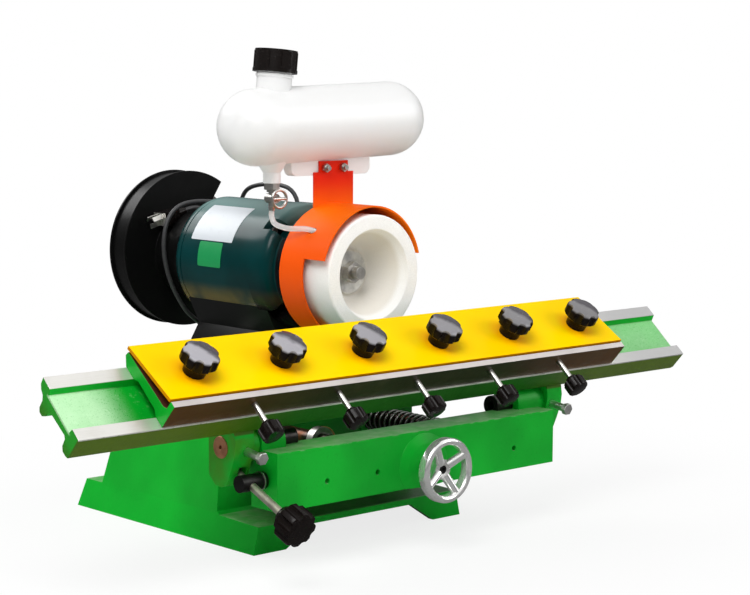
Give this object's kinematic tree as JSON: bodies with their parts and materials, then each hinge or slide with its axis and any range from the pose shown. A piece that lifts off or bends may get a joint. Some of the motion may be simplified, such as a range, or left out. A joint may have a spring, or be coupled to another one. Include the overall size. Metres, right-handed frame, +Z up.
{
  "type": "planer knife grinder",
  "caption": "Bench grinder for long planer knives: motor with cup wheel and drip bottle on a cast pedestal, tilting bed with sliding clamp carriage.",
  "frame": {"origin": "middle of the machine's box on the bench plane", "axes": "+X along the bed to the operator's right, +Y away from the operator, +Z up"},
  "size_m": [1, 0.6738, 0.6145],
  "materials": {
    "green_paint": "gloss",
    "black_paint": "gloss",
    "motor_paint": "gloss",
    "orange_paint": "satin",
    "yellow_paint": "gloss",
    "bright_steel": "brushed",
    "brown_steel": "satin",
    "black_steel": "satin",
    "chrome": "polished",
    "bronze": "satin",
    "white_abrasive": "matte",
    "grey_abrasive": "matte",
    "bottle_plastic": "satin",
    "clear_hose": "gloss",
    "black_plastic": "satin",
    "red_plastic": "gloss",
    "cord_rubber": "satin"
  },
  "bodies": {
    "stand": {"base_casting": "green_paint", "motor_bracket": "black_paint", "rear_guard": "black_paint", "rear_guard_cover": "black_paint", "motor_shell": "motor_paint", "motor_rear_bell": "motor_paint", "motor_front_bell": "motor_paint", "wheel_guard": "orange_paint", "bracket_bolts": "bright_steel", "through_bolts": "bright_steel", "guard_screws": "bright_steel", "bottle_bolts": "bright_steel", "petcock_body": "bright_steel", "feed_nut": "bronze", "coolant_bottle": "bottle_plastic", "coolant_hose": "clear_hose", "switch_box": "black_plastic", "cord_gland": "cord_rubber", "cord_lead_a": "cord_rubber", "cord_coil": "cord_rubber", "cord_lead_b": "cord_rubber", "plug": "cord_rubber"},
    "rotor": {"rotor_shaft": "bright_steel", "wheel_flanges": "bright_steel", "cup_wheel": "white_abrasive", "wheel_nuts": "bright_steel", "rear_wheel": "grey_abrasive", "rear_flanges": "bright_steel"},
    "saddle": {"saddle_beam": "green_paint", "pivot_shafts": "brown_steel", "guide_bars": "brown_steel", "stop_collar": "bright_steel", "return_spring": "black_steel"},
    "handwheel": {"handwheel": "chrome", "leadscrew": "bright_steel", "handwheel_screw": "black_steel"},
    "bed": {"bed_casting": "green_paint"},
    "trunnion": {"tilt_trunnion": "black_steel", "trunnion_clip": "bright_steel"},
    "swivel": {"tilt_swivel": "bright_steel"},
    "tilt_screw": {"tilt_rod": "bright_steel", "tilt_knob": "black_plastic"},
    "lock_left": {"lock_bolt_l": "bright_steel"},
    "lock_right": {"lock_bolt_r": "bright_steel"},
    "carriage": {"carriage_body": "bright_steel"},
    "plate": {"clamp_plate": "yellow_paint"},
    "petcock": {"petcock_key": "bright_steel"},
    "cap": {"bottle_cap": "black_plastic"},
    "rocker": {"switch_rocker": "red_plastic"},
    "star_1": {"star_knob_1": "black_plastic"},
    "star_2": {"star_knob_2": "black_plastic"},
    "star_3": {"star_knob_3": "black_plastic"},
    "star_4": {"star_knob_4": "black_plastic"},
    "star_5": {"star_knob_5": "black_plastic"},
    "star_6": {"star_knob_6": "black_plastic"},
    "adjust_1": {"adjuster_1": "black_plastic"},
    "adjust_2": {"adjuster_2": "black_plastic"},
    "adjust_3": {"adjuster_3": "black_plastic"},
    "adjust_4": {"adjuster_4": "black_plastic"},
    "adjust_5": {"adjuster_5": "black_plastic"}
  },
  "joints": [
    {"name": "wheel_spin", "type": "hinge", "parent": "stand", "child": "rotor", "pos_m": [0, 0.087, 0.334], "axis": [0, 1, 0], "continuous": true},
    {"name": "saddle_feed", "type": "slide", "parent": "stand", "child": "saddle", "axis": [0, 1, 0], "range_m": [-0.03, 0.008], "deforming": ["return_spring"]},
    {"name": "handwheel_turn", "type": "hinge", "parent": "saddle", "child": "handwheel", "pos_m": [0, -0.253, 0.1065], "axis": [0, 1, 0], "range_deg": [-2705, 725]},
    {"name": "bed_tilt", "type": "hinge", "parent": "saddle", "child": "bed", "pos_m": [0, -0.1655, 0.1555], "axis": [1, 0, 0], "range_deg": [-5, 12]},
    {"name": "trunnion_swing", "type": "hinge", "parent": "saddle", "child": "trunnion", "pos_m": [-0.256, -0.1935, 0.1159], "axis": [1, 0, 0], "range_deg": [-4, 3]},
    {"name": "swivel_swing", "type": "hinge", "parent": "bed", "child": "swivel", "pos_m": [-0.256, -0.165, 0.128], "axis": [1, 0, 0], "range_deg": [-16, 8]},
    {"name": "tilt_screw_turn", "type": "hinge", "parent": "swivel", "child": "tilt_screw", "pos_m": [-0.256, -0.165, 0.128], "axis": [0, -0.9205, -0.3908], "range_deg": [-600, 1400]},
    {"name": "lock_left_turn", "type": "hinge", "parent": "bed", "child": "lock_left", "pos_m": [-0.256, -0.1655, 0.1555], "axis": [0, -0.9903, -0.1392], "range_deg": [-180, 0]},
    {"name": "lock_right_turn", "type": "hinge", "parent": "bed", "child": "lock_right", "pos_m": [0.256, -0.1655, 0.1555], "axis": [0, -0.9903, -0.1392], "range_deg": [-180, 0]},
    {"name": "carriage_travel", "type": "slide", "parent": "bed", "child": "carriage", "axis": [1, 0, 0], "range_m": [-0.32, 0.36]},
    {"name": "plate_clamp", "type": "slide", "parent": "carriage", "child": "plate", "axis": [0, -0.5402, 0.8415], "range_m": [0, 0.004]},
    {"name": "star_1_turn", "type": "hinge", "parent": "plate", "child": "star_1", "pos_m": [-0.335, -0.19548, 0.25269], "axis": [0, -0.5402, 0.8415], "range_deg": [-360, 360]},
    {"name": "star_2_turn", "type": "hinge", "parent": "plate", "child": "star_2", "pos_m": [-0.209, -0.19548, 0.25269], "axis": [0, -0.5402, 0.8415], "range_deg": [-360, 360]},
    {"name": "star_3_turn", "type": "hinge", "parent": "plate", "child": "star_3", "pos_m": [-0.083, -0.19548, 0.25269], "axis": [0, -0.5402, 0.8415], "range_deg": [-360, 360]},
    {"name": "star_4_turn", "type": "hinge", "parent": "plate", "child": "star_4", "pos_m": [0.043, -0.19548, 0.25269], "axis": [0, -0.5402, 0.8415], "range_deg": [-360, 360]},
    {"name": "star_5_turn", "type": "hinge", "parent": "plate", "child": "star_5", "pos_m": [0.169, -0.19548, 0.25269], "axis": [0, -0.5402, 0.8415], "range_deg": [-360, 360]},
    {"name": "star_6_turn", "type": "hinge", "parent": "plate", "child": "star_6", "pos_m": [0.295, -0.19548, 0.25269], "axis": [0, -0.5402, 0.8415], "range_deg": [-360, 360]},
    {"name": "adjust_1_turn", "type": "hinge", "parent": "carriage", "child": "adjust_1", "pos_m": [-0.272, -0.22602, 0.21293], "axis": [0, -0.7431, -0.6691], "range_deg": [-360, 360]},
    {"name": "adjust_2_turn", "type": "hinge", "parent": "carriage", "child": "adjust_2", "pos_m": [-0.146, -0.22602, 0.21293], "axis": [0, -0.7431, -0.6691], "range_deg": [-360, 360]},
    {"name": "adjust_3_turn", "type": "hinge", "parent": "carriage", "child": "adjust_3", "pos_m": [-0.02, -0.22602, 0.21293], "axis": [0, -0.7431, -0.6691], "range_deg": [-360, 360]},
    {"name": "adjust_4_turn", "type": "hinge", "parent": "carriage", "child": "adjust_4", "pos_m": [0.106, -0.22602, 0.21293], "axis": [0, -0.7431, -0.6691], "range_deg": [-360, 360]},
    {"name": "adjust_5_turn", "type": "hinge", "parent": "carriage", "child": "adjust_5", "pos_m": [0.232, -0.22602, 0.21293], "axis": [0, -0.7431, -0.6691], "range_deg": [-360, 360]},
    {"name": "petcock_turn", "type": "hinge", "parent": "stand", "child": "petcock", "pos_m": [-0.088, -0.031, 0.428], "axis": [0, 1, 0], "range_deg": [0, 90]},
    {"name": "cap_turn", "type": "hinge", "parent": "stand", "child": "cap", "pos_m": [-0.086, -0.031, 0.556], "axis": [0.1045, 0, 0.9945], "range_deg": [0, 720]},
    {"name": "rocker_tip", "type": "hinge", "parent": "stand", "child": "rocker", "pos_m": [0.1, 0.107, 0.345], "axis": [0, 1, 0], "range_deg": [-8, 8]}
  ],
  "couplings": [
    {"joint": "handwheel_turn", "follows": "saddle_feed", "rad_per_m": 1570.8},
    {"joint": "trunnion_swing", "follows": "bed_tilt", "ratio": -0.22},
    {"joint": "swivel_swing", "follows": "bed_tilt", "ratio": -1.22},
    {"joint": "tilt_screw_turn", "follows": "bed_tilt", "ratio": 112}
  ]
}
